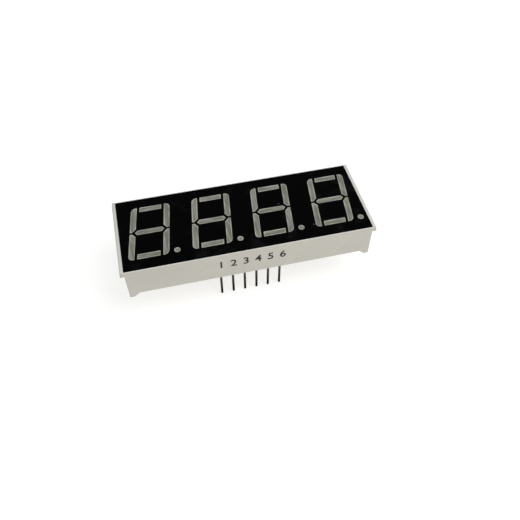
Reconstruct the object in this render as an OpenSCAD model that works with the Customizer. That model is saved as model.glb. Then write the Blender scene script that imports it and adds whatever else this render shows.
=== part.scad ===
// Seven segment display module: slanted digits with decimal points in one moulded reflector case, potted
// in epoxy around a circuit board that carries the light chips and two rows of round pins.
// Origin at the centre of the plane under the corner feet, +Z to the display face, +X the way the digits
// read, +Y to their top. Millimetres.

/* [Digits] */
// Number of digits
digit_count = 4; // [2:1:4]
// Distance between the centres of neighbouring digits
digit_pitch = 12.7; // [12.5:0.1:18]
// Height of a digit over its outer segments
digit_height = 13.9; // [11:0.1:17.2]
// Width of a digit over its uprights, before the slant
digit_width = 8.15; // [7:0.05:9]
// Lean of the digits to the right, in degrees
digit_slant = 8; // [5:1:12]
// Width of the uprights, the segments b, c, e and f
upright_width = 1.3; // [1.1:0.02:1.8]
// Height of the top and bottom segments
bar_height = 1.35; // [1.1:0.05:1.9]
// Height of the middle segment
middle_height = 1.3; // [1.1:0.05:1.7]
// Length of the middle segment's pointed ends
middle_point = 0.57; // [0.3:0.01:0.9]
// Gap between a horizontal segment and the upright beside it
segment_gap = 0.45; // [0.25:0.05:0.7]
// Gap between an upper and a lower upright
upright_gap = 0.38; // [0.2:0.01:0.7]
// Width of the chamfer on an upright beside the middle segment
upright_chamfer = 0.72; // [0.3:0.02:1]
// Radius of the digit's outer corners
corner_radius = 1; // [0.3:0.05:1.3]
// Diameter of the decimal point
point_diameter = 1.35; // [1.3:0.05:1.8]
// Distance from the side of the upright digit to the middle of the decimal point
point_offset = 0.64; // [0.6:0.02:0.8]

/* [Case] */
// Height of the face above the feet
body_height = 8; // [6.6:0.1:14]
// Length by which the case is shorter than its digits' pitch, so that modules line up side by side
module_gap = 0.3; // [0.1:0.05:0.7]
// Thickness of the walls around the back pocket
wall = 1; // [0.6:0.05:2]
// Rounding of the face's long edges
edge_radius = 0.1; // [0.05:0.01:0.3]
// How far an end lip stands out at the face
lip_top = 0.65; // [0.3:0.05:0.8]
// How far an end lip stands out at its lower edge
lip_bottom = 0.85; // [0.85:0.05:1.6]
// Height of an end lip
lip_height = 1.25; // [0.6:0.05:2]
// Height of the upright band at the lower edge of a lip
lip_band = 0.15; // [0.05:0.05:0.4]
// Height of the feet
foot_height = 1; // [0.5:0.1:2]
// Length of a foot's flat bottom
foot_length = 0.95; // [0.6:0.05:2]
// Length of the slope from a foot's flat bottom up to the rim
foot_slope = 1.1; // [0.4:0.1:3]

/* [Printed face] */
// Thickness of the print
print_thickness = 0.05; // [0.02:0.01:0.1]
// Bare case between the print and the rounded edge below the digits
print_margin_low = 0.02; // [0:0.01:0.4]
// Bare case between the print and the rounded edge above the digits
print_margin_high = 0.2; // [0:0.01:0.4]

/* [Light cells] */
// Depth of the straight walls behind a window
window_depth = 0.8; // [0.3:0.1:1.5]
// Share of a window's length left at the floor of its cell
floor_length_share = 0.5; // [0.4:0.05:0.9]
// Share of a window's width left at the floor of its cell
floor_width_share = 0.8; // [0.75:0.05:0.95]
// Least distance between the floor of a decimal point's cell and the pocket's end wall
point_clearance = 0.1; // [0.05:0.01:0.3]

/* [Board and potting] */
// Thickness of the circuit board
board_thickness = 1; // [0.6:0.1:1.6]
// Gap between the board and the pocket walls
board_gap = 0.35; // [0.1:0.05:0.5]
// Board left outside the pin pads
pad_edge = 0.08; // [0.05:0.01:2]
// Glue line between the board and the floor of the cells
glue_gap = 0.1; // [0.06:0.01:0.3]
// Thickness of the copper on each side of the board
copper_thickness = 0.04; // [0.02:0.01:0.05]
// Epoxy behind the board
potting_back = 1; // [0.7:0.1:2]
// How far the epoxy stops short of the case's rim
potting_recess = 0.2; // [0.05:0.05:0.5]

/* [Pins] */
// Pins in each row
pin_columns = 6; // [3:1:7]
// Distance between neighbouring pins
pin_pitch = 2.54; // [2:0.02:3.3]
// Distance between the rows of pins
row_spacing = 15.24; // [12.7:0.1:22]
// Diameter of the pins
pin_diameter = 0.5; // [0.4:0.02:0.7]
// How far the pins reach below the feet
pin_reach = 7.2; // [2.5:0.1:9]
// Diameter of the pads around the pins
pad_diameter = 1.2; // [1:0.05:1.6]
// Height of the solder cones behind the board
solder_height = 0.4; // [0.2:0.05:0.5]

/* [Light chips] */
// Side of a light chip
chip_size = 0.3; // [0.2:0.02:0.4]
// Height of a light chip
chip_height = 0.2; // [0.1:0.02:0.3]
// Diameter of the bond wires
wire_diameter = 0.04; // [0.02:0.005:0.05]
// Rise of a bond wire above its chip
wire_rise = 0.2; // [0.1:0.02:0.4]
// Distance from the middle of a cell to its chip
chip_shift = 0.28; // [0.26:0.01:0.32]
// Distance from the middle of a cell to its bond pad
bond_shift = 0.34; // [0.3:0.01:0.36]
// Side of the pad under a chip
chip_pad = 0.44; // [0.42:0.01:0.5]
// Side of a bond pad
bond_pad = 0.36; // [0.2:0.01:0.4]
// Width of the tracks on the back of the board
track_width = 0.3; // [0.15:0.01:0.5]
// Length of the shortest track, and the step from each track to the next
track_step = 0.9; // [0.6:0.05:1]
// Diameter of the pad at the end of a track
via_diameter = 0.6; // [0.4:0.05:1]

/* [Hidden] */
$fn = 48;
SEGMENTS = ["a", "b", "c", "d", "e", "f", "g", "dp"];
DIGITS = [1:digit_count];
PINS = [1:2 * pin_columns];
ROWS = [["front", -1], ["back", 1]];

cut = 0.05; // overlap that keeps a cut or a union clear of shared faces
arc_steps = 5;
point_sides = 20;
wire_sides = 6;

body_length = digit_count * digit_pitch - module_gap;
board_depth = row_spacing + pad_diameter + 2 * pad_edge;
pocket_depth = board_depth + 2 * board_gap;
body_depth = pocket_depth + 2 * wall;
pocket_length = body_length - 2 * wall;
board_length = pocket_length - 2 * board_gap;

case_top = body_height - print_thickness;
potting_bottom = foot_height + potting_recess;
board_bottom = potting_bottom + potting_back;
board_top = board_bottom + board_thickness;
cell_floor = board_top + glue_gap;
copper_top = board_top + copper_thickness;
copper_bottom = board_bottom - copper_thickness;
chip_top = copper_top + chip_height;

half_height = digit_height / 2;
half_width = digit_width / 2;
upright_in = half_width - upright_width;
half_gap = upright_gap / 2;
point_lean = middle_point / (middle_height / 2);
point_floor_limit =
    (digit_pitch - module_gap) / 2 - wall - point_clearance - floor_width_share * point_diameter / 2;
middle_tip = upright_in + upright_chamfer + half_gap * point_lean - segment_gap * sqrt(1 + point_lean ^ 2);

// ---- outlines -------------------------------------------------------------------------------------

function reversed(list) = [for (i = [len(list) - 1:-1:0]) list[i]];

function arc(centre, radius, from, to, steps) =
    [for (i = [0:steps]) let (t = from + (to - from) * i / steps) centre + radius * [cos(t), sin(t)]];

// A list of points mirrored by the signs of x and y, still counter-clockwise
function mirrored(points, x, y) =
    let (m = [for (p = points) [x * p.x, y * p.y]]) x * y > 0 ? m : reversed(m);

// The upper right upright, chamfered beside the middle segment and round at the digit's corner
function upright_outline() =
    let (r = min(corner_radius, upright_width - cut))
    concat(
        [[upright_in + upright_chamfer, half_gap], [half_width, half_gap]],
        arc([half_width - r, half_height - r], r, 0, 90, arc_steps),
        [[upright_in, half_height], [upright_in, half_gap + upright_chamfer / point_lean]]
    );

// The top bar
function bar_outline() =
    let (end = upright_in - segment_gap, low = half_height - bar_height)
    [[-end, low], [end, low], [end, half_height], [-end, half_height]];

// The middle bar, pointed at both ends
function middle_outline() =
    let (end = middle_tip - middle_point, h = middle_height / 2)
    [[-middle_tip, 0], [-end, -h], [end, -h], [middle_tip, 0], [end, h], [-end, h]];

function point_centre() = [half_width + point_offset, (point_diameter - digit_height) / 2];

function upright_outline_at(segment) =
    segment == "b" ? mirrored(upright_outline(), 1, 1) :
    segment == "c" ? mirrored(upright_outline(), 1, -1) :
    segment == "e" ? mirrored(upright_outline(), -1, -1) : mirrored(upright_outline(), -1, 1);

// A segment's outline about the digit's centre, before the slant
function outline(segment) =
    segment == "a" ? bar_outline() :
    segment == "d" ? mirrored(bar_outline(), 1, -1) :
    segment == "g" ? middle_outline() :
    segment == "dp" ? [for (i = [0:point_sides - 1])
        point_centre() + point_diameter / 2 * [cos(i * 360 / point_sides), sin(i * 360 / point_sides)]] :
    upright_outline_at(segment);

function is_upright(segment) = len(search(segment, "bcef")) > 0 && segment != "dp";

// The middle of a segment, before the slant
function middle(segment) =
    segment == "a" ? [0, half_height - bar_height / 2] :
    segment == "d" ? [0, bar_height / 2 - half_height] :
    segment == "g" ? [0, 0] :
    segment == "dp" ? point_centre() :
    let (x = half_width - upright_width / 2, y = (half_height + half_gap) / 2)
    [segment == "b" || segment == "c" ? x : -x, segment == "b" || segment == "f" ? y : -y];

// The middle of a cell's floor: behind its window, but a decimal point's keeps inside the pocket's end wall
function floor_middle(segment) =
    segment == "dp" ? [min(point_centre().x, point_floor_limit), point_centre().y] : middle(segment);

// The direction in which a cell has its chip and bond pad side by side, before the slant
function run(segment) = is_upright(segment) || segment == "dp" ? [0, 1] : [1, 0];

function floor_shares(segment) =
    segment == "dp" ? [floor_width_share, floor_width_share] :
    is_upright(segment) ? [floor_width_share, floor_length_share] : [floor_length_share, floor_width_share];

function floor_outline(segment) =
    let (c = middle(segment), k = floor_shares(segment))
    [for (p = outline(segment)) floor_middle(segment) + [k.x * (p.x - c.x), k.y * (p.y - c.y)]];

// A point of a digit in the module's frame: slanted, but for the decimal point's
function placed(point, segment, digit) =
    [point.x + (segment == "dp" ? 0 : tan(digit_slant) * point.y), point.y]
    + [(digit - (digit_count + 1) / 2) * digit_pitch, 0];

function placed_all(points, segment, digit) = [for (p = points) placed(p, segment, digit)];

function chip_place(segment, digit) =
    placed(floor_middle(segment) - chip_shift * run(segment), segment, digit);

function bond_place(segment, digit) =
    placed(floor_middle(segment) + bond_shift * run(segment), segment, digit);

// Pins are counted left to right in the front row, then right to left in the back row
function pin_row(i) = i <= pin_columns ? -1 : 1;

function pin_column(i) = i <= pin_columns ? i : 2 * pin_columns + 1 - i;

function pin_place(i) =
    [(pin_column(i) - (pin_columns + 1) / 2) * pin_pitch, pin_row(i) * row_spacing / 2];

// ---- helpers --------------------------------------------------------------------------------------

// A closed solid through rings of equally many points, each counter-clockwise as seen from the next
module skin(rings) {
    n = len(rings[0]);
    last = len(rings) - 1;
    sides = [for (k = [0:last - 1]) for (i = [0:n - 1])
        let (a = k * n + i, b = k * n + (i + 1) % n)
        each [[a, a + n, b], [b, a + n, b + n]]];
    lower = [[for (i = [0:n - 1]) i]];
    upper = [[for (i = [n - 1:-1:0]) last * n + i]];
    polyhedron(points = [for (ring = rings) each ring], faces = concat(sides, lower, upper));
}

function ring_at(points, z) = [for (p = points) [p.x, p.y, z]];

module block(length, depth, bottom, top) {
    translate([-length / 2, -depth / 2, bottom]) cube([length, depth, top - bottom]);
}

module both_ends() {
    children();
    mirror([1, 0, 0]) children();
}

module both_sides() {
    children();
    mirror([0, 1, 0]) children();
}

// Extrudes an outline drawn in X and Z along Y, from one y to another
module along_y(from, to) {
    translate([0, to, 0]) rotate([90, 0, 0]) linear_extrude(to - from) children();
}

// The light cell of one segment: straight behind its window, then narrowing to its floor
module cell(digit, segment, above, below) {
    window = placed_all(outline(segment), segment, digit);
    base = placed_all(floor_outline(segment), segment, digit);
    skin([
        ring_at(base, cell_floor - below),
        ring_at(base, cell_floor),
        ring_at(window, case_top - window_depth),
        ring_at(window, body_height + above)
    ]);
}

module cells(above, below) {
    for (d = DIGITS) for (s = SEGMENTS) cell(d, s, above, below);
}

// ---- case -----------------------------------------------------------------------------------------

// The case's block with its long top edges rounded
module case_block() {
    half = body_depth / 2;
    r = edge_radius;
    profile = concat(
        [[-half, foot_height], [half, foot_height]],
        arc([half - r, case_top - r], r, 0, 90, arc_steps),
        arc([r - half, case_top - r], r, 90, 180, arc_steps)
    );
    translate([-body_length / 2, 0, 0]) rotate([90, 0, 90]) linear_extrude(body_length) polygon(profile);
}

// The flared lip along one end
module lip() {
    end = body_length / 2;
    low = case_top - lip_height;
    along_y(-body_depth / 2, body_depth / 2)
        polygon([[end - cut, low], [end + lip_bottom, low], [end + lip_bottom, low + lip_band],
            [end + lip_top, case_top], [end - cut, case_top]]);
}

// A foot under the corner of two walls
module foot() {
    end = body_length / 2;
    slope_end = end - foot_length - foot_slope;
    along_y(body_depth / 2 - wall, body_depth / 2)
        polygon([[end - foot_length, 0], [end, 0], [end, foot_height + cut],
            [slope_end, foot_height + cut], [slope_end, foot_height]]);
}

module housing() {
    color("whitesmoke") difference() {
        union() {
            case_block();
            both_ends() lip();
            both_ends() both_sides() foot();
        }
        block(pocket_length, pocket_depth, foot_height - cut, cell_floor);
        cells(cut, cut);
    }
}

// The black print on the face, open over each window
module face_print() {
    low = edge_radius + print_margin_low - body_depth / 2;
    high = body_depth / 2 - edge_radius - print_margin_high;
    color("black") translate([0, 0, case_top]) linear_extrude(print_thickness) difference() {
        translate([-body_length / 2, low]) square([body_length, high - low]);
        for (d = DIGITS) for (s = SEGMENTS) polygon(placed_all(outline(s), s, d));
    }
}

// ---- board, copper and solder ---------------------------------------------------------------------

module at_pins() {
    for (i = PINS) translate(pin_place(i)) children();
}

module pin_bores(bottom, top) {
    at_pins() translate([0, 0, bottom]) cylinder(d = pin_diameter, h = top - bottom);
}

module circuit_board() {
    color("burlywood") difference() {
        block(board_length, board_depth, board_bottom, board_top);
        pin_bores(board_bottom - cut, board_top + cut);
    }
}

// Square pads under the chips and their bond wires, and a ring around each pin
module front_copper_blank() {
    translate([0, 0, board_top]) linear_extrude(copper_thickness) {
        for (d = DIGITS) for (s = SEGMENTS) {
            translate(chip_place(s, d)) square(chip_pad, center = true);
            translate(bond_place(s, d)) square(bond_pad, center = true);
        }
        at_pins() circle(d = pad_diameter);
    }
}

module front_copper() {
    color("darkgoldenrod") difference() {
        front_copper_blank();
        pin_bores(board_top - cut, copper_top + cut);
    }
}

// A pad at each pin with a track that leads inward to a small round pad
module back_copper_blank() {
    translate([0, 0, copper_bottom]) linear_extrude(copper_thickness) for (i = PINS) {
        length = pad_diameter / 2 + (1 + pin_column(i) % 3) * track_step;
        translate(pin_place(i)) mirror([0, pin_row(i) > 0 ? 1 : 0]) {
            circle(d = pad_diameter);
            translate([-track_width / 2, 0]) square([track_width, length]);
            translate([0, length]) circle(d = via_diameter);
        }
    }
}

module back_copper() {
    color("darkgoldenrod") difference() {
        back_copper_blank();
        pin_bores(copper_bottom - cut, board_bottom + cut);
    }
}

// A cone of solder on the back pad of every pin in one row, with the pin's room still filled
module solder_blank(side) {
    for (i = PINS) if (pin_row(i) == side)
        translate([each pin_place(i), copper_bottom - solder_height])
            cylinder(d1 = pin_diameter + 0.1, d2 = pad_diameter - 0.2, h = solder_height);
}

module solder(side) {
    color("silver") difference() {
        solder_blank(side);
        pin_bores(copper_bottom - solder_height - cut, copper_bottom + cut);
    }
}

// ---- pins -----------------------------------------------------------------------------------------

// One round pin with a rounded tip, flush with the front of the board's copper
module pin(i) {
    r = pin_diameter / 2;
    profile = concat(
        [[0, copper_top], [0, -pin_reach]],
        arc([0, r - pin_reach], r, -90 + 90 / arc_steps, 0, arc_steps - 1),
        [[r, copper_top]]
    );
    color("dimgray") translate(pin_place(i)) rotate_extrude() polygon(profile);
}

// ---- chips and bond wires -------------------------------------------------------------------------

module chip(digit, segment) {
    half = chip_size / 2;
    color("goldenrod") translate([each chip_place(segment, digit), copper_top])
        translate([-half, -half, 0]) cube([chip_size, chip_size, chip_height]);
}

// The direction of a path of points at one of them
function heading(path, i) =
    let (d = path[min(i + 1, len(path) - 1)] - path[max(i - 1, 0)]) d / norm(d);

// A looped wire from the top of a chip down to its bond pad
module bond_wire(digit, segment) {
    start = chip_place(segment, digit);
    span = bond_place(segment, digit) - start;
    length = norm(span);
    ahead = [span.x / length, span.y / length, 0];
    aside = [-ahead.y, ahead.x, 0];
    high = chip_top + wire_rise;
    path = [[0, chip_top], [0, chip_top + wire_rise / 2], [length / 3, high],
        [length, chip_top], [length, copper_top]];
    skin([for (k = [0:len(path) - 1])
        let (h = heading(path, k), across = h.y * ahead - [0, 0, h.x])
        [for (j = [0:wire_sides - 1]) let (t = j * 360 / wire_sides)
            [each start, path[k].y] + path[k].x * ahead
            + wire_diameter / 2 * (cos(t) * across + sin(t) * aside)]]);
}

module bond_wires(digit) {
    color("gold") for (s = SEGMENTS) bond_wire(digit, s);
}

// ---- potting --------------------------------------------------------------------------------------

// The first casting: it fills the cells and the glue line, around the chips and their wires
module cell_epoxy() {
    color("gray") difference() {
        union() {
            block(pocket_length, pocket_depth, board_top, cell_floor);
            cells(0, cut);
        }
        front_copper_blank();
        for (d = DIGITS) for (s = SEGMENTS) {
            chip(d, s);
            bond_wire(d, s);
        }
    }
}

// The second casting: it fills the pocket around and behind the board
module back_epoxy() {
    color("lightgray") difference() {
        block(pocket_length, pocket_depth, potting_bottom, board_top);
        block(board_length, board_depth, board_bottom, board_top + cut);
        back_copper_blank();
        for (r = ROWS) solder_blank(r[1]);
        pin_bores(potting_bottom - cut, board_bottom);
    }
}

housing();
face_print();
cell_epoxy();
back_epoxy();
circuit_board();
front_copper();
back_copper();
for (r = ROWS) solder(r[1]);
for (i = PINS) pin(i);
for (d = DIGITS) bond_wires(d);
for (d = DIGITS) for (s = SEGMENTS) chip(d, s);
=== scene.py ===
"""Finishes a four digit seven segment display module around its packed frame.

The case, the window filling and the back potting are modelled from the frame's own nodes, and the pin
numbers are new. The pins, the board and what is on it keep their nodes and get their finishes here.
"""

import math

import bmesh
import bpy
from bpy.props import FloatProperty, FloatVectorProperty, IntProperty, PointerProperty
from bpy.types import Operator, Panel, PropertyGroup
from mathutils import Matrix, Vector


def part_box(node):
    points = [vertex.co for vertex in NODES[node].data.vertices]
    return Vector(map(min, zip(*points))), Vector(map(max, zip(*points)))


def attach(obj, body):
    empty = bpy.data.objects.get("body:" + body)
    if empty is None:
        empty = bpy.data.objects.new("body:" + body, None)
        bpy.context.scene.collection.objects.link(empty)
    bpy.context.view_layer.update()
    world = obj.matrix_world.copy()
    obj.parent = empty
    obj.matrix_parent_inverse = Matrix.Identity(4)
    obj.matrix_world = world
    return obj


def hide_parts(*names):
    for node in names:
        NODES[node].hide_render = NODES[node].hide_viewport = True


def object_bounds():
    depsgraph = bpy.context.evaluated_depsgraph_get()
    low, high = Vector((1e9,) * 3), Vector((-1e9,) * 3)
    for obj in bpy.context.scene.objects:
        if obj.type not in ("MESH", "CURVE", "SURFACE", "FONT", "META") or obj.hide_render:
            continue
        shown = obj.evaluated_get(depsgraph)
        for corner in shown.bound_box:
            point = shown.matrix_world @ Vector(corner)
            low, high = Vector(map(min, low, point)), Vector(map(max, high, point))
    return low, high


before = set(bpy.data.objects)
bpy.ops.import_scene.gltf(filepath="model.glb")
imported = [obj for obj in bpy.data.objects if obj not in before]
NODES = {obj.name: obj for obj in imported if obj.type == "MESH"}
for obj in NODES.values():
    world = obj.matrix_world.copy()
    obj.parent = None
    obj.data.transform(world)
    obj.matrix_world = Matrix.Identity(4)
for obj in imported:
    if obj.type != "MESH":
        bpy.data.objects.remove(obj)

bl_info = {
    "name": "Seven segment display module",
    "version": (1, 0, 0),
    "blender": (4, 5, 0),
    "location": "View3D > Sidebar > Display",
    "description": "Models and finishes a four digit display module around its packed frame",
    "category": "Object",
}

MM = 0.001
WELD = 0.001 * MM
FLAT_ANGLE = math.radians(0.5)
SHARP_ANGLE = math.radians(30.0)
SMOOTH_ANGLE = math.radians(35.0)
# A figure's height as a share of its font size
FIGURE_SHARE = 0.7
# Most of a noise lies between these two
NOISE_LOW = 0.35
NOISE_HIGH = 0.65
SENSOR_WIDTH = 36.0
NEAR_CLIP = 1.0 * MM
WHITE = (1.0, 1.0, 1.0, 1.0)
CAD_BOX = [list(corner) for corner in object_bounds()]
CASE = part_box("housing")
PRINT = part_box("face_print")
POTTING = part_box("back_epoxy")
PINS = sorted((n for n in NODES if n.startswith("pin_")), key=lambda n: int(n.split("_")[1]))
CHIPS = sorted(n for n in NODES if n.startswith("chip_"))
WIRES = sorted(n for n in NODES if n.startswith("bond_wires_"))
FLOOR_LEVEL = CAD_BOX[0][2]
FACE_LEVEL = CAD_BOX[1][2]


def length(name, description, default):
    """A size in millimetres, kept in metres."""
    return FloatProperty(name=name, description=description, default=default * MM, min=0.0,
                         subtype="DISTANCE", unit="LENGTH", precision=5)


def share(name, description, default):
    """A number from 0 to 1."""
    return FloatProperty(name=name, description=description, default=default, min=0.0, max=1.0,
                         subtype="FACTOR")


def colour(name, description, default):
    """A colour without alpha."""
    return FloatVectorProperty(name=name, description=description, default=default, size=3, min=0.0,
                               max=1.0, subtype="COLOR")


def number(name, description, default):
    """A number from 0 up."""
    return FloatProperty(name=name, description=description, default=default, min=0.0)


def steps(name, description, default, low, high):
    """A count of steps or sides."""
    return IntProperty(name=name, description=description, default=default, min=low, max=high)


def angle(name, description, default):
    """An angle in degrees, kept in radians."""
    return FloatProperty(name=name, description=description, default=math.radians(default),
                         subtype="ANGLE")


def power(name, description, default):
    """A light's power in watts."""
    return FloatProperty(name=name, description=description, default=default, min=0.0, subtype="POWER",
                         unit="POWER")


def spot(name, description, default):
    """A place in millimetres, kept in metres."""
    return FloatVectorProperty(name=name, description=description, default=[c * MM for c in default],
                               size=3, subtype="XYZ", unit="LENGTH")


class DisplayCase(PropertyGroup):
    """The white reflector case."""
    bevel: length("Edge rounding", "Rounding of the case's outer edges", 0.07)
    bevel_segments: steps("Rounding steps", "Faces across a rounded edge", 3, 1, 8)
    plastic: colour("Plastic", "Colour of the moulded plastic", (0.516, 0.498, 0.438))
    # Painted highlight: a paler band painted along the top of the case's walls, standing in for light
    # caught at the face's rim
    skin: colour("Skin", "Colour of the pale skin along the face's rim", (0.70, 0.69, 0.65))
    skin_depth: length("Skin depth", "How far down from the face that skin goes", 0.3)
    # The next colour serves for the faint handling marks and dust, and also as painted shade on the sloped
    # outer faces of the end lips; the share after it sets how dark that painted shade goes
    soil: colour("Soil", "Colour of faint handling marks", (0.36, 0.34, 0.30))
    lip_soil: share("Lip soil", "How much soil lies on the slopes of the end lips", 0.7)
    roughness: share("Roughness", "Roughness of the plastic", 0.42)


class DisplayFace(PropertyGroup):
    """The black print and the grey windows."""
    ink: colour("Ink", "Colour of the print", (0.0008, 0.0008, 0.0009))
    dust: colour("Dust", "Colour of dust on the print", (0.11, 0.11, 0.14))
    ink_roughness: share("Ink roughness", "Roughness of the print", 0.5)
    window_edge: colour("Window edge", "Colour of a window where the print's edge shades it",
                        (0.012, 0.012, 0.012))
    window_rim: colour("Window rim", "Colour of a window beside its walls", (0.50, 0.497, 0.468))
    window_middle: colour("Window middle", "Colour of a window over its cell", (0.205, 0.205, 0.188))
    window_green: colour("Green cast", "Cast of the filling where it is thick", (0.94, 1.0, 0.84))
    window_rose: colour("Rose cast", "Cast of the filling where it is thin", (0.99, 0.955, 0.915))
    window_step: length("Rim step", "Width of one step from a window's rim to its middle", 0.065)
    window_steps: steps("Rim steps", "Steps from a window's rim to its middle", 4, 1, 5)
    window_sink: length("Sink", "How far the filling sinks at each step", 0.012)
    streak_dark: number("Dark streak", "Brightness of the filling's darkest streaks", 0.76)
    streak_pale: number("Pale streak", "Brightness of the filling's palest streaks", 1.28)
    window_roughness: share("Window roughness", "Roughness of the filling", 0.38)


class DisplayPins(PropertyGroup):
    """The round pins."""
    # Root and tip are a lit and a shaded colour of the same tin: painted shade and reflection, paler by the
    # case and near black at the tips
    root: colour("Root", "Colour of a pin beside the case", (0.12, 0.12, 0.118))
    tip: colour("Tip", "Colour of a pin's tip", (0.003, 0.003, 0.003))
    glancing: colour("Glancing", "Tint of a pin's shine at a glancing angle", (0.25, 0.25, 0.25))
    roughness: share("Roughness", "Roughness of the tarnished tin", 0.38)


class DisplayPotting(PropertyGroup):
    """The clear casting behind the board."""
    tint: colour("Tint", "Colour of the casting", (0.86, 0.84, 0.76))
    roughness: share("Roughness", "Roughness of its surface", 0.12)
    climb: length("Climb", "How far the casting climbs the pocket's walls", 0.16)
    climb_step: length("Climb step", "Width of one step of that climb", 0.12)
    climb_steps: steps("Climb steps", "Steps of that climb", 6, 2, 10)
    collar_width: length("Collar width", "How far a collar spreads around its pin", 0.4)
    collar_height: length("Collar height", "How far a collar climbs its pin", 0.35)
    collar_sides: steps("Collar sides", "Faces round a collar", 32, 8, 64)


class DisplayBoard(PropertyGroup):
    """The board, its copper and solder, and the chips and wires on it."""
    laminate: colour("Laminate", "Colour of the laminate", (0.66, 0.58, 0.36))
    weave: colour("Weave", "Colour of the laminate's darker threads", (0.46, 0.38, 0.20))
    copper: colour("Copper", "Colour of the copper", (0.70, 0.38, 0.22))
    copper_dark: colour("Dark copper", "Colour of the copper's darker patches", (0.52, 0.26, 0.14))
    solder: colour("Solder", "Colour of the solder", (0.62, 0.63, 0.65))
    solder_dark: colour("Dark solder", "Colour of the solder's darker patches", (0.42, 0.43, 0.45))
    wire: colour("Wire", "Colour of the bond wires", (0.95, 0.72, 0.30))
    wire_dark: colour("Dark wire", "Colour of the wires' darker patches", (0.80, 0.56, 0.20))
    crystal: colour("Crystal", "Colour of a light chip", (0.70, 0.48, 0.16))
    crystal_pale: colour("Pale crystal", "Colour of a chip's paler patches", (0.82, 0.62, 0.26))


class DisplayMarks(PropertyGroup):
    """The plain numbers over the front pins."""
    height: length("Height", "Height of a number", 1.9)
    level: length("Level", "Height of the numbers' feet above the seating plane", 4.0)
    ink_depth: length("Ink depth", "Thickness of the ink", 0.012)
    weight: length("Weight", "How far the strokes are thickened", 0.05)


class DisplayStage(PropertyGroup):
    """The floor, the lights and the camera."""
    camera_place: spot("Camera place", "Where the camera stands", (-15.829, -82.061, 96.589))
    camera_tilt: angle("Camera tilt", "Angle below the horizon", 51.12)
    camera_heading: angle("Camera heading", "Turn from +Y towards +X", 13.515)
    lens: FloatProperty(name="Lens", description="Focal length on a 36 mm sensor", default=40.6,
                        subtype="DISTANCE_CAMERA")
    floor_side: length("Floor side", "Side of the square floor", 1600.0)
    floor_colour: colour("Floor", "Colour of the floor", (0.40, 0.40, 0.395))
    floor_glow: number("Floor glow", "Light that the floor gives of itself", 0.74)
    sky: number("Sky", "Strength of the even light", 0.42)
    key_place: spot("Key place", "Where the overhead soft light hangs", (190.0, -120.0, 380.0))
    key_side: length("Key side", "Side of the overhead soft light", 340.0)
    key_power: power("Key power", "Power of the overhead soft light", 1.25)
    fill_place: spot("Fill place", "Where the soft light from the front stands", (-60.0, -420.0, 120.0))
    fill_side: length("Fill side", "Side of the soft light from the front", 300.0)
    fill_power: power("Fill power", "Power of the soft light from the front", 0.03)


GROUPS = {
    "display_case": DisplayCase,
    "display_face": DisplayFace,
    "display_pins": DisplayPins,
    "display_potting": DisplayPotting,
    "display_board": DisplayBoard,
    "display_marks": DisplayMarks,
    "display_stage": DisplayStage,
}


# ---- modelling ------------------------------------------------------------------------------------

def deselect():
    """Leaves nothing selected."""
    bpy.ops.object.select_all(action="DESELECT")


def choose(*pieces):
    """Selects only these pieces, the first of them active."""
    deselect()
    for piece in pieces:
        piece.select_set(True)
    bpy.context.view_layer.objects.active = pieces[0]


def open_mesh(piece, mode="FACE"):
    """Opens one piece in edit mode, with nothing selected."""
    choose(piece)
    bpy.ops.object.mode_set(mode="EDIT")
    bpy.ops.mesh.select_mode(type=mode)
    bpy.ops.mesh.select_all(action="DESELECT")


def close_mesh():
    """Goes back to object mode."""
    bpy.ops.object.mode_set(mode="OBJECT")


def pick(piece, kind, wanted):
    """Selects the open piece's verts, edges or faces that wanted says yes to."""
    mesh = bmesh.from_edit_mesh(piece.data)
    chosen = [part for part in getattr(mesh, kind) if wanted(part)]
    if not chosen:
        raise RuntimeError(f"{piece.name} has none of the wanted {kind}")
    for part in chosen:
        part.select_set(True)
    mesh.select_flush_mode()
    bmesh.update_edit_mesh(piece.data)


def faces_down(face):
    """Does this face look down?"""
    return face.normal.z < -0.9


def weld():
    """Merges the open piece's points that lie on each other."""
    bpy.ops.mesh.select_all(action="SELECT")
    bpy.ops.mesh.remove_doubles(threshold=WELD)


def copy_of(node, name):
    """A new piece with a welded copy of a frame node's mesh, its flat faces made whole."""
    piece = bpy.data.objects.new(name, NODES[node].data.copy())
    piece.data.name = name
    bpy.context.collection.objects.link(piece)
    open_mesh(piece)
    weld()
    bpy.ops.mesh.dissolve_limited(angle_limit=FLAT_ANGLE, delimit=set())
    close_mesh()
    return piece


def new_piece(name):
    """Names the active object and its mesh as a piece."""
    piece = bpy.context.active_object
    piece.name = name
    piece.data.name = name
    return piece


def apply_place():
    """Applies the selected pieces' places to their meshes."""
    bpy.ops.object.transform_apply(location=True, rotation=True, scale=True)


def settle(piece):
    """Applies a piece's place to its mesh and smooths its soft edges."""
    choose(piece)
    apply_place()
    bpy.ops.object.shade_smooth_by_angle(angle=SMOOTH_ANGLE)


def join_solid(piece, other):
    """Joins another closed solid to a piece and removes the other."""
    choose(piece)
    modifier = piece.modifiers.new("Union", "BOOLEAN")
    modifier.operation = "UNION"
    modifier.solver = "EXACT"
    modifier.object = other
    bpy.ops.object.modifier_apply(modifier=modifier.name)
    bpy.data.objects.remove(other)


def finish_piece(piece, material, slot, *replaced):
    """Gives a piece its material and body, and hides the nodes it stands for. The slot is not used."""
    piece.data.materials.clear()
    piece.data.materials.append(material)
    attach(piece, "root")
    if replaced:
        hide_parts(*replaced)


def dress(names, material):
    """Gives frame nodes a material."""
    for name in names:
        node = NODES[name]
        if not node.material_slots:
            node.data.materials.append(material)
        for slot in node.material_slots:
            slot.material = material


# ---- shading helpers ------------------------------------------------------------------------------

def add(tree, kind, **settings):
    """Adds a node with its settings."""
    node = tree.nodes.new(kind)
    for key, value in settings.items():
        setattr(node, key, value)
    return node


def feed(tree, socket, value):
    """Links an output to an input, or sets the input's own value."""
    if isinstance(value, bpy.types.NodeSocket):
        tree.links.new(value, socket)
    elif value is not None:
        socket.default_value = value


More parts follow.
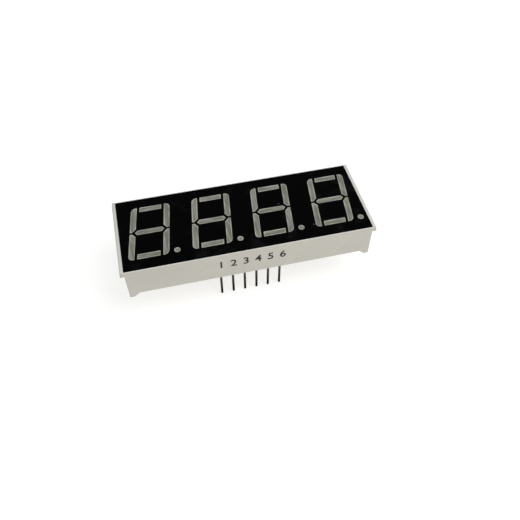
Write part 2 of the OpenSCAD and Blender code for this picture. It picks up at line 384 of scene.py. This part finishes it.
def maths(tree, operation, first, second=None, clamp=False):
    """A Math node's output."""
    node = add(tree, "ShaderNodeMath", operation=operation, use_clamp=clamp)
    feed(tree, node.inputs[0], first)
    feed(tree, node.inputs[1], second)
    return node.outputs[0]


def between(tree, value, low, high, to_low=0.0, to_high=1.0):
    """A value carried smoothly from one range to another."""
    node = add(tree, "ShaderNodeMapRange", interpolation_type="SMOOTHSTEP")
    for socket, given in zip(node.inputs[:5], (value, low, high, to_low, to_high)):
        feed(tree, socket, given)
    return node.outputs[0]


def mixed(tree, amount, first, second, blend="MIX"):
    """Two colours mixed."""
    node = add(tree, "ShaderNodeMix", data_type="RGBA", blend_type=blend)
    feed(tree, node.inputs["Factor"], amount)
    feed(tree, node.inputs[6], first)
    feed(tree, node.inputs[7], second)
    return node.outputs[2]


def noise(tree, place, scale, detail=3.0, roughness=0.5):
    """A noise texture's value, its scale in waves to a millimetre."""
    node = add(tree, "ShaderNodeTexNoise")
    feed(tree, node.inputs["Vector"], place)
    feed(tree, node.inputs["Scale"], scale)
    feed(tree, node.inputs["Detail"], detail)
    feed(tree, node.inputs["Roughness"], roughness)
    return node.outputs["Fac"]


def stretched(tree, place, scale):
    """A place stretched along its axes."""
    node = add(tree, "ShaderNodeVectorMath", operation="MULTIPLY")
    feed(tree, node.inputs[0], place)
    feed(tree, node.inputs[1], scale)
    return node.outputs[0]


def parts_of(tree, place):
    """A place's X, Y and Z outputs."""
    node = add(tree, "ShaderNodeSeparateXYZ")
    feed(tree, node.inputs[0], place)
    return node.outputs


def opaque(rgb):
    """A colour with full alpha."""
    return (*rgb, 1.0)


def scaled(rgb, times):
    """A colour made lighter or darker, with full alpha."""
    return opaque([min(1.0, c * times) for c in rgb])


def mottled(tree, tone, first, second):
    """Two colours mixed in patches by a noise's value."""
    return mixed(tree, between(tree, tone, NOISE_LOW, NOISE_HIGH), opaque(first), opaque(second))


def new_group(name, inputs, outputs):
    """A shader node group with named sockets, and its input and output nodes."""
    tree = bpy.data.node_groups.new(name, "ShaderNodeTree")
    kinds = {"value": "NodeSocketFloat", "vector": "NodeSocketVector", "colour": "NodeSocketColor"}
    for socket, kind in inputs:
        tree.interface.new_socket(name=socket, in_out="INPUT", socket_type=kinds[kind])
    for socket, kind in outputs:
        tree.interface.new_socket(name=socket, in_out="OUTPUT", socket_type=kinds[kind])
    return tree, tree.nodes.new("NodeGroupInput").outputs, tree.nodes.new("NodeGroupOutput").inputs


def place_group(tree, name, **inputs):
    """A group's outputs in a material, with its inputs given by name."""
    node = add(tree, "ShaderNodeGroup", node_tree=bpy.data.node_groups[name])
    for key, value in inputs.items():
        feed(tree, node.inputs[key], value)
    return node.outputs


def make_grain_group():
    """Fine moulded or cast grain: a height for a bump and an uneven tone."""
    tree, given, out = new_group("Grain", [("Place", "vector"), ("Fineness", "value"), ("Depth", "value")],
                                 [("Height", "value"), ("Tone", "value")])
    fine = noise(tree, given["Place"], given["Fineness"], detail=4.0, roughness=0.6)
    broad = noise(tree, given["Place"], scale=0.16, detail=2.0)
    feed(tree, out["Height"], maths(tree, "MULTIPLY", fine, given["Depth"]))
    feed(tree, out["Tone"], between(tree, broad, 0.3, 0.7))


def make_dust_group():
    """Sparse specks of dust: a mask that is 1 on a speck."""
    tree, given, out = new_group("Dust", [("Place", "vector"), ("Spacing", "value"), ("Size", "value")],
                                 [("Mask", "value")])
    warp = noise(tree, given["Place"], scale=3.0, detail=2.0)
    cells = add(tree, "ShaderNodeTexVoronoi", voronoi_dimensions="3D")
    feed(tree, cells.inputs["Vector"], given["Place"])
    feed(tree, cells.inputs["Scale"], maths(tree, "DIVIDE", 1.0, given["Spacing"]))
    chance = add(tree, "ShaderNodeSeparateColor")
    feed(tree, chance.inputs[0], cells.outputs["Color"])
    reach = maths(tree, "MULTIPLY", given["Size"], maths(tree, "ADD", warp, 0.1))
    reach = maths(tree, "DIVIDE", reach, given["Spacing"])
    away = maths(tree, "DIVIDE", cells.outputs["Distance"], reach)
    near = between(tree, away, 0.5, 1.0, to_low=1.0, to_high=0.0)
    lucky = between(tree, chance.outputs[0], 0.35, 0.7)
    feed(tree, out["Mask"], maths(tree, "MULTIPLY", near, lucky))


def make_smudge_group():
    """Broad, faint handling marks: a mask from 0 to 1."""
    tree, given, out = new_group("Smudge", [("Place", "vector"), ("Spread", "value"), ("Amount", "value")],
                                 [("Mask", "value")])
    waves = maths(tree, "DIVIDE", 1.0, given["Spread"])
    broad = noise(tree, given["Place"], waves, detail=5.0, roughness=0.65)
    patch = between(tree, broad, 0.52, 0.72)
    feed(tree, out["Mask"], maths(tree, "MULTIPLY", patch, given["Amount"]))


def new_material(name):
    """A material, its tree, its Principled shader's inputs and places in millimetres."""
    material = bpy.data.materials.new(name)
    material.use_nodes = True
    tree = material.node_tree
    shader = tree.nodes["Principled BSDF"].inputs
    coordinates = add(tree, "ShaderNodeTexCoord")
    place = add(tree, "ShaderNodeVectorMath", operation="SCALE")
    feed(tree, place.inputs[0], coordinates.outputs["Object"])
    place.inputs["Scale"].default_value = 1.0 / MM
    return material, tree, shader, place.outputs[0]


def roughened(tree, shader, value, start, rise, low=0.0, high=1.0):
    """Feeds the shader a roughness that rises from start as a value goes from low to high."""
    feed(tree, shader["Roughness"], between(tree, value, low, high, start, start + rise))


def bumped(tree, shader, height, distance):
    """Feeds the shader's normal a height, of which 1 stands for a distance in millimetres."""
    bump = add(tree, "ShaderNodeBump")
    bump.inputs["Strength"].default_value = 1.0
    bump.inputs["Distance"].default_value = distance * MM
    feed(tree, bump.inputs["Height"], height)
    feed(tree, shader["Normal"], bump.outputs["Normal"])


# ---- materials ------------------------------------------------------------------------------------

def case_plastic(settings):
    """Moulded off-white plastic with faint handling marks and dust.

    A painted highlight runs along the face's rim, and painted shade lies on the slopes of the end lips.
    """
    material, tree, shader, place = new_material("case_plastic")
    grain = place_group(tree, "Grain", Place=place, Fineness=9.0, Depth=1.0)
    smudge = place_group(tree, "Smudge", Place=place, Spread=2.2, Amount=0.16)
    dust = place_group(tree, "Dust", Place=place, Spacing=3.1, Size=0.22)
    soil = opaque(settings.soil)
    warm = mixed(tree, grain["Tone"], opaque(settings.plastic), scaled(settings.plastic, 1.05))
    axes = parts_of(tree, place)
    top = FACE_LEVEL / MM
    # Painted highlight: the walls are drawn paler near the face's rim
    rim = between(tree, axes["Z"], top - settings.skin_depth / MM, top - 0.1, to_high=0.8)
    rim_highlighted = mixed(tree, rim, warm, opaque(settings.skin))
    # Painted shade: the sloped outer faces of the end lips are drawn darker, towards the colour of the
    # marks
    outward = maths(tree, "ABSOLUTE", axes["X"])
    lip_start = PRINT[1].x / MM + 0.4
    lip_shade_mask = between(tree, outward, lip_start, CASE[1].x / MM, to_high=settings.lip_soil)
    lip_shaded = mixed(tree, lip_shade_mask, rim_highlighted, soil)
    marked = mixed(tree, smudge["Mask"], lip_shaded, soil)
    faint_dust = maths(tree, "MULTIPLY", dust["Mask"], 0.5)
    feed(tree, shader["Base Color"], mixed(tree, faint_dust, marked, soil))
    roughened(tree, shader, grain["Tone"], start=settings.roughness, rise=0.08)
    bumped(tree, shader, grain["Height"], distance=0.006)
    return material


def face_ink(settings):
    """Near-black screen ink with dust on it."""
    material, tree, shader, place = new_material("face_ink")
    grain = place_group(tree, "Grain", Place=place, Fineness=14.0, Depth=1.0)
    smudge = place_group(tree, "Smudge", Place=place, Spread=5.0, Amount=0.05)
    specks = place_group(tree, "Dust", Place=place, Spacing=4.6, Size=0.3)
    dust = opaque(settings.dust)
    smeared = mixed(tree, smudge["Mask"], opaque(settings.ink), dust)
    feed(tree, shader["Base Color"], mixed(tree, specks["Mask"], smeared, dust))
    roughened(tree, shader, grain["Tone"], start=settings.ink_roughness, rise=0.1)
    shader["Specular IOR Level"].default_value = 0.02
    bumped(tree, shader, grain["Height"], distance=0.003)
    return material


def window_epoxy(settings):
    """Grey diffusing epoxy: paler beside its walls, darker over the cell, streaked along the segment."""
    material, tree, shader, place = new_material("window_epoxy")
    inward = add(tree, "ShaderNodeAttribute", attribute_name="inward").outputs["Fac"]
    upright = add(tree, "ShaderNodeAttribute", attribute_name="upright").outputs["Fac"]
    tall = noise(tree, stretched(tree, place, (1.0, 0.12, 1.0)), scale=3.2)
    wide = noise(tree, stretched(tree, place, (0.12, 1.0, 1.0)), scale=3.2)
    streak = add(tree, "ShaderNodeMix", data_type="FLOAT")
    feed(tree, streak.inputs["Factor"], upright)
    feed(tree, streak.inputs[2], wide)
    feed(tree, streak.inputs[3], tall)
    streak = streak.outputs[0]
    grain = place_group(tree, "Grain", Place=place, Fineness=5.0, Depth=1.0)
    shade_start, shade_end = 0.15, 0.45
    low, high = 0.38, 0.62
    depth = between(tree, inward, shade_end, 1.0)
    body = mixed(tree, depth, opaque(settings.window_rim), opaque(settings.window_middle))
    tone = between(tree, streak, low, high, settings.streak_dark, settings.streak_pale)
    streaked = mixed(tree, 1.0, body, tone, "MULTIPLY")
    patch = noise(tree, stretched(tree, place, (1.0, 0.3, 1.0)), scale=0.6, detail=2.0)
    cast = mixed(tree, between(tree, patch, low, high), opaque(settings.window_green),
                 opaque(settings.window_rose))
    tinted = mixed(tree, 1.0, streaked, cast, "MULTIPLY")
    shade = between(tree, inward, shade_start, shade_end)
    feed(tree, shader["Base Color"], mixed(tree, shade, opaque(settings.window_edge), tinted))
    roughened(tree, shader, streak, start=settings.window_roughness, rise=0.1, low=0.3, high=0.7)
    bumped(tree, shader, grain["Height"], distance=0.004)
    return material


def pin_metal(settings):
    """Tarnished tin, with painted shade that darkens it towards the tips."""
    material, tree, shader, place = new_material("pin_metal")
    # Painted shade: the pin is drawn from its pale root colour by the case to its near black tip colour
    shaded_tip_level = FLOOR_LEVEL / MM
    lit_root_level = 1.5
    painted_tip_shade = between(tree, parts_of(tree, place)["Z"], shaded_tip_level, lit_root_level, to_low=1.0, to_high=0.0)
    blotch = noise(tree, place, scale=1.6, detail=4.0, roughness=0.6)
    uneven = between(tree, blotch, NOISE_LOW, NOISE_HIGH, to_low=-0.12, to_high=0.12)
    dark = maths(tree, "ADD", painted_tip_shade, uneven, clamp=True)
    feed(tree, shader["Base Color"], mixed(tree, dark, opaque(settings.root), opaque(settings.tip)))
    shader["Metallic"].default_value = 0.85
    shader["Specular IOR Level"].default_value = 0.1
    shader["Specular Tint"].default_value = opaque(settings.glancing)
    roughened(tree, shader, blotch, start=settings.roughness, rise=0.14, low=0.3, high=0.7)
    drawn = noise(tree, stretched(tree, place, (1.0, 1.0, 0.06)), scale=12.0, detail=2.0)
    bumped(tree, shader, drawn, distance=0.004)
    return material


def potting_epoxy(settings):
    """Clear casting with a faint tint."""
    material, tree, shader, place = new_material("potting_epoxy")
    grain = place_group(tree, "Grain", Place=place, Fineness=0.9, Depth=1.0)
    clear = opaque(settings.tint)
    cloudy = scaled(settings.tint, 0.93)
    feed(tree, shader["Base Color"], mixed(tree, grain["Tone"], clear, cloudy))
    shader["Roughness"].default_value = settings.roughness
    shader["IOR"].default_value = 1.5
    shader["Transmission Weight"].default_value = 1.0
    bumped(tree, shader, grain["Height"], distance=0.02)
    return material


def board_laminate(settings):
    """Paper and glass laminate with a faint weave."""
    material, tree, shader, place = new_material("board_laminate")
    warp = noise(tree, stretched(tree, place, (0.4, 3.2, 1.0)), scale=1.0, detail=2.0)
    weft = noise(tree, stretched(tree, place, (3.2, 0.4, 1.0)), scale=1.0, detail=2.0)
    weave = maths(tree, "MULTIPLY", warp, weft)
    thread = between(tree, weave, 0.12, 0.42)
    feed(tree, shader["Base Color"], mixed(tree, thread, opaque(settings.weave), opaque(settings.laminate)))
    shader["Roughness"].default_value = 0.5
    bumped(tree, shader, weave, distance=0.01)
    return material


def metal(name, pale, dark, fineness, roughness):
    """A plain metal finish with an uneven tone."""
    material, tree, shader, place = new_material(name)
    grain = place_group(tree, "Grain", Place=place, Fineness=fineness, Depth=1.0)
    tone = noise(tree, place, scale=fineness / 4.0)
    feed(tree, shader["Base Color"], mottled(tree, tone, pale, dark))
    shader["Metallic"].default_value = 1.0
    roughened(tree, shader, tone, start=roughness, rise=0.12, low=0.3, high=0.7)
    bumped(tree, shader, grain["Height"], distance=0.004)
    return material


def chip_crystal(settings):
    """The pale amber crystal of a light chip."""
    material, tree, shader, place = new_material("chip_crystal")
    tone = noise(tree, place, scale=7.0, detail=2.0)
    feed(tree, shader["Base Color"], mottled(tree, tone, settings.crystal, settings.crystal_pale))
    shader["Roughness"].default_value = 0.25
    return material


def floor_paint(settings):
    """Matt pale paint that glows a little, so that shadows on it stay faint."""
    material, tree, shader, place = new_material("floor_paint")
    tone = noise(tree, place, scale=0.01, detail=2.0)
    pale = opaque(settings.floor_colour)
    paler = scaled(settings.floor_colour, 1.02)
    feed(tree, shader["Base Color"], mixed(tree, tone, pale, paler))
    shader["Roughness"].default_value = 0.9
    shader["Specular IOR Level"].default_value = 0.1
    shader["Emission Color"].default_value = (1.0, 1.0, 0.99, 1.0)
    shader["Emission Strength"].default_value = settings.floor_glow
    return material


# ---- operators ------------------------------------------------------------------------------------

class DISPLAY_OT_groups(Operator):
    """Makes the shading groups that the finishes share."""
    bl_idname = "display.groups"
    bl_label = "Shading groups"

    def execute(self, context):
        make_grain_group()
        make_dust_group()
        make_smudge_group()
        return {"FINISHED"}


def is_outer_edge(edge):
    """Is this a sharp outward edge of the case, away from the light cells?"""
    if len(edge.link_faces) != 2 or edge.calc_face_angle_signed() < SHARP_ANGLE:
        return False
    near = 0.15 * MM

    def outside(vert):
        below_cells = vert.co.z < POTTING[1].z - near
        at_end = abs(vert.co.x) > PRINT[1].x - near
        at_side = abs(vert.co.y) > CASE[1].y - near
        return below_cells or at_end or at_side

    return all(outside(vert) for vert in edge.verts)


class DISPLAY_OT_case(Operator):
    """Models the case from its node and rounds its outer edges."""
    bl_idname = "display.case"
    bl_label = "Case"

    def execute(self, context):
        settings = context.scene.display_case
        piece = copy_of("housing", "case")
        open_mesh(piece, "EDGE")
        pick(piece, "edges", is_outer_edge)
        bpy.ops.mesh.bevel(offset=settings.bevel, segments=settings.bevel_segments, profile=0.5,
                           clamp_overlap=True)
        weld()
        close_mesh()
        settle(piece)
        finish_piece(piece, case_plastic(settings), "case", "housing")
        return {"FINISHED"}


class DISPLAY_OT_windows(Operator):
    """Models the window filling from its node, stepped from each rim down to its middle."""
    bl_idname = "display.windows"
    bl_label = "Windows"

    def execute(self, context):
        settings = context.scene.display_face
        piece = copy_of("cell_epoxy", "window_filling")
        for name in ("inward", "upright"):
            piece.data.attributes.new(name, "FLOAT", "POINT")
        open_mesh(piece)
        below_face = FACE_LEVEL - 0.01 * MM
        pick(piece, "faces", lambda f: f.normal.z > 0.9 and f.calc_center_median().z > below_face)
        self.mark_uprights(piece)
        merging = settings.window_step * 0.7
        for step in range(settings.window_steps):
            bpy.ops.mesh.inset(thickness=settings.window_step, depth=-settings.window_sink,
                               use_individual=True, use_even_offset=True)
            bpy.ops.mesh.remove_doubles(threshold=merging)
            self.mark(piece, "inward", (step + 1) / settings.window_steps)
        close_mesh()
        settle(piece)
        finish_piece(piece, window_epoxy(settings), "window_epoxy", "cell_epoxy")
        return {"FINISHED"}

    def mark(self, piece, name, value):
        """Writes a value on the corners of the selected faces."""
        mesh = bmesh.from_edit_mesh(piece.data)
        layer = mesh.verts.layers.float[name]
        for face in mesh.faces:
            if face.select:
                for vert in face.verts:
                    vert[layer] = value
        bmesh.update_edit_mesh(piece.data)

    def mark_uprights(self, piece):
        """Writes on each selected window whether it is taller than wide."""
        mesh = bmesh.from_edit_mesh(piece.data)
        layer = mesh.verts.layers.float["upright"]
        for face in mesh.faces:
            if face.select:
                xs = [v.co.x for v in face.verts]
                ys = [v.co.y for v in face.verts]
                for vert in face.verts:
                    vert[layer] = float(max(ys) - min(ys) > max(xs) - min(xs))
        bmesh.update_edit_mesh(piece.data)


class DISPLAY_OT_print(Operator):
    """Finishes the black print."""
    bl_idname = "display.print"
    bl_label = "Print"

    def execute(self, context):
        dress(["face_print"], face_ink(context.scene.display_face))
        return {"FINISHED"}


class DISPLAY_OT_potting(Operator):
    """Models the clear casting: it climbs the pocket's walls and makes a collar on every pin."""
    bl_idname = "display.potting"
    bl_label = "Potting"

    def execute(self, context):
        settings = context.scene.display_potting
        low, high = POTTING
        piece = self.slab(settings, low, high)
        for name in PINS:
            self.collar(settings, name, low.z, piece)
        settle(piece)
        finish_piece(piece, potting_epoxy(settings), "potting", "back_epoxy")
        return {"FINISHED"}

    def slab(self, settings, low, high):
        """The casting's slab, its back stepped down from the climb along the walls."""
        clearance = 0.9998
        fall = 0.5
        deselect()
        bpy.ops.mesh.primitive_cube_add(size=1.0, location=(low + high) / 2, scale=(high - low) * clearance)
        piece = new_piece("back_potting")
        apply_place()
        open_mesh(piece)
        pick(piece, "faces", faces_down)
        bpy.ops.transform.translate(value=(0.0, 0.0, -settings.climb))
        left = settings.climb
        for step in range(settings.climb_steps):
            sink = left * fall
            bpy.ops.mesh.inset(thickness=settings.climb_step, depth=-sink)
            left -= sink
        close_mesh()
        return piece

    def collar(self, settings, name, level, piece):
        """A hollow-sided cone of casting where a pin leaves it, joined to the slab."""
        spreads = (0.45, 0.2, 0.06)
        rises = (0.1, 0.25, 0.4)
        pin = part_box(name)
        radius = (pin[1].x - pin[0].x) / 2
        centre = (pin[0] + pin[1]) / 2
        foot = (centre.x, centre.y, level)
        deselect()
        bpy.ops.mesh.primitive_cylinder_add(vertices=settings.collar_sides,
                                            radius=radius + settings.collar_width,
                                            depth=settings.collar_height / 4, location=foot)
        cone = new_piece("collar")
        apply_place()
        open_mesh(cone)
        pick(cone, "faces", faces_down)
        before = 1.0
        for spread, rise in zip(spreads, rises):
            ratio = (radius + settings.collar_width * spread) / (radius + settings.collar_width * before)
            bpy.ops.mesh.extrude_region_move(
                TRANSFORM_OT_translate={"value": (0.0, 0.0, -settings.collar_height * rise)})
            bpy.ops.transform.resize(value=(ratio, ratio, 1.0), center_override=foot)
            before = spread
        close_mesh()
        join_solid(piece, cone)


class DISPLAY_OT_pins(Operator):
    """Finishes the pins and the solder on them."""
    bl_idname = "display.pins"
    bl_label = "Pins and solder"

    def execute(self, context):
        board = context.scene.display_board
        solder = metal("solder_metal", board.solder, board.solder_dark, fineness=6.0, roughness=0.3)
        dress(PINS, pin_metal(context.scene.display_pins))
        dress(["solder_front", "solder_back"], solder)
        return {"FINISHED"}


class DISPLAY_OT_board(Operator):
    """Finishes the board, its copper, and the chips and wires on it."""
    bl_idname = "display.board"
    bl_label = "Board"

    def execute(self, context):
        settings = context.scene.display_board
        copper = metal("copper_metal", settings.copper, settings.copper_dark, fineness=4.0, roughness=0.28)
        wire = metal("wire_metal", settings.wire, settings.wire_dark, fineness=20.0, roughness=0.2)
        dress(["circuit_board"], board_laminate(settings))
        dress(["front_copper", "back_copper"], copper)
        dress(WIRES, wire)
        dress(CHIPS, chip_crystal(settings))
        return {"FINISHED"}


class DISPLAY_OT_marks(Operator):
    """Prints a plain number on the case over each front pin."""
    bl_idname = "display.marks"
    bl_label = "Pin numbers"

    def execute(self, context):
        settings = context.scene.display_marks
        front = [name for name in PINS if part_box(name)[0].y < 0]
        numbers = []
        for count, name in enumerate(front, start=1):
            low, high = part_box(name)
            deselect()
            bpy.ops.object.text_add(location=((low.x + high.x) / 2, CASE[0].y, settings.level),
                                    rotation=(math.radians(90.0), 0.0, 0.0))
            text = context.active_object.data
            text.body = str(count)
            text.align_x = "CENTER"
            text.size = settings.height / FIGURE_SHARE
            text.extrude = settings.ink_depth
            text.offset = settings.weight
            bpy.ops.object.convert(target="MESH")
            numbers.append(context.active_object)
        choose(*numbers)
        bpy.ops.object.join()
        piece = new_piece("pin_numbers")
        open_mesh(piece)
        weld()
        bpy.ops.mesh.normals_make_consistent(inside=False)
        close_mesh()
        settle(piece)
        finish_piece(piece, bpy.data.materials["face_ink"], "face_ink")
        return {"FINISHED"}


class DISPLAY_OT_stage(Operator):
    """Sets the floor, the lights and the camera."""
    bl_idname = "display.stage"
    bl_label = "Stage"

    def execute(self, context):
        settings = context.scene.display_stage
        self.floor(settings)
        self.sky(context, settings)
        self.light("key", settings.key_place, settings.key_side, settings.key_power)
        self.light("fill", settings.fill_place, settings.fill_side, settings.fill_power)
        bpy.ops.object.camera_add(
            location=settings.camera_place,
            rotation=(math.radians(90.0) - settings.camera_tilt, 0.0, -settings.camera_heading))
        camera = context.active_object
        camera.name = "camera"
        camera.data.lens = settings.lens
        camera.data.sensor_width = SENSOR_WIDTH
        camera.data.clip_start = NEAR_CLIP
        context.scene.camera = camera
        context.scene.view_settings.view_transform = "Standard"
        return {"FINISHED"}

    def floor(self, settings):
        """A plain pale floor under the pins' tips."""
        deselect()
        bpy.ops.mesh.primitive_plane_add(size=settings.floor_side, location=(0.0, 0.0, FLOOR_LEVEL))
        floor = new_piece("floor")
        floor.data.materials.append(floor_paint(settings))

    def sky(self, context, settings):
        """An even white light all round, seen as a white studio wall."""
        world = bpy.data.worlds.new("sky")
        world.use_nodes = True
        tree = world.node_tree
        background = tree.nodes["Background"].inputs
        background["Color"].default_value = WHITE
        seen = add(tree, "ShaderNodeLightPath").outputs["Is Camera Ray"]
        feed(tree, background["Strength"], between(tree, seen, 0.0, 1.0, settings.sky, 1.0))
        context.scene.world = world

    def light(self, name, place, side, watts):
        """A square soft light that faces the origin."""
        place = Vector(place)
        bpy.ops.object.light_add(type="AREA", location=place)
        lamp = bpy.context.active_object
        lamp.name = name
        lamp.rotation_euler = (-place).to_track_quat("-Z", "Y").to_euler()
        lamp.data.shape = "SQUARE"
        lamp.data.size = side
        lamp.data.energy = watts


OPERATORS = (
    DISPLAY_OT_groups,
    DISPLAY_OT_case,
    DISPLAY_OT_windows,
    DISPLAY_OT_print,
    DISPLAY_OT_potting,
    DISPLAY_OT_pins,
    DISPLAY_OT_board,
    DISPLAY_OT_marks,
    DISPLAY_OT_stage,
)


class DISPLAY_PT_panel(Panel):
    """Lists the steps and their settings."""
    bl_idname = "DISPLAY_PT_panel"
    bl_label = "Display module"
    bl_space_type = "VIEW_3D"
    bl_region_type = "UI"
    bl_category = "Display"

    def draw(self, context):
        for operator in OPERATORS:
            self.layout.operator(operator.bl_idname)
        for name, group in GROUPS.items():
            box = self.layout.box()
            box.label(text=group.__doc__)
            for key in group.__annotations__:
                box.prop(getattr(context.scene, name), key)


def register():
    """Registers the settings, the operators and the panel."""
    for name, group in GROUPS.items():
        bpy.utils.register_class(group)
        setattr(bpy.types.Scene, name, PointerProperty(type=group))
    for cls in (*OPERATORS, DISPLAY_PT_panel):
        bpy.utils.register_class(cls)


def unregister():
    """Takes them all away again."""
    for cls in reversed((*OPERATORS, DISPLAY_PT_panel)):
        bpy.utils.unregister_class(cls)
    for name, group in reversed(GROUPS.items()):
        delattr(bpy.types.Scene, name)
        bpy.utils.unregister_class(group)


def main():
    """Registers the settings and makes everything in order."""
    register()
    for operator in OPERATORS:
        group, step = operator.bl_idname.split(".")
        getattr(getattr(bpy.ops, group), step)()


if __name__ == "__main__":
    main()
